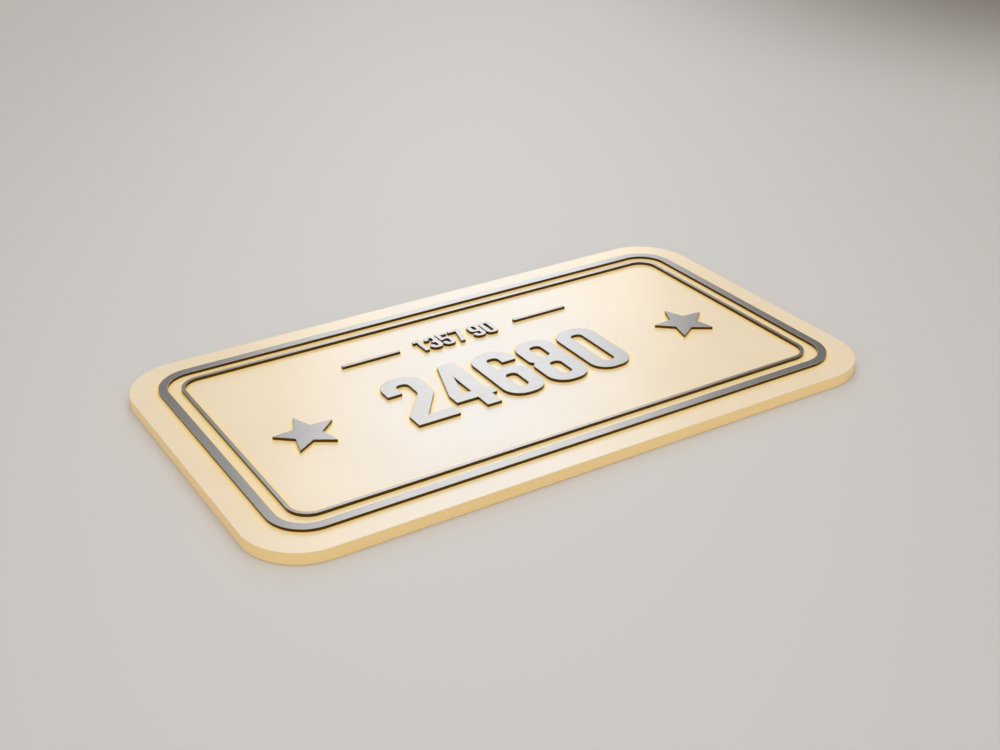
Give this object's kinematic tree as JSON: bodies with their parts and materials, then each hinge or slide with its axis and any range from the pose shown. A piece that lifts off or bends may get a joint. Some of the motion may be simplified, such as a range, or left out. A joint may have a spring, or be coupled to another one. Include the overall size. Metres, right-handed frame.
{
  "type": "door name plate",
  "caption": "Flat rectangular door name plate with round corners and raised trim on its face: a double border, stars and rules round plain digits. It lies or is fixed by its flat back.",
  "frame": {"origin": "middle of the plate's flat back", "axes": "+X along the plate in the reading direction, +Y to the plate's top edge, +Z out of its face"},
  "size_m": [0.16, 0.09, 0.0038],
  "materials": {
    "gold_plate": "pale gold, satin polish",
    "steel_trim": "neutral silver grey, polished"
  },
  "bodies": {
    "root": {"base_plate": "gold_plate", "outer_border": "steel_trim", "inner_border": "steel_trim", "left_rule": "steel_trim", "right_rule": "steel_trim", "left_star": "steel_trim", "right_star": "steel_trim"}
  },
  "joints": []
}
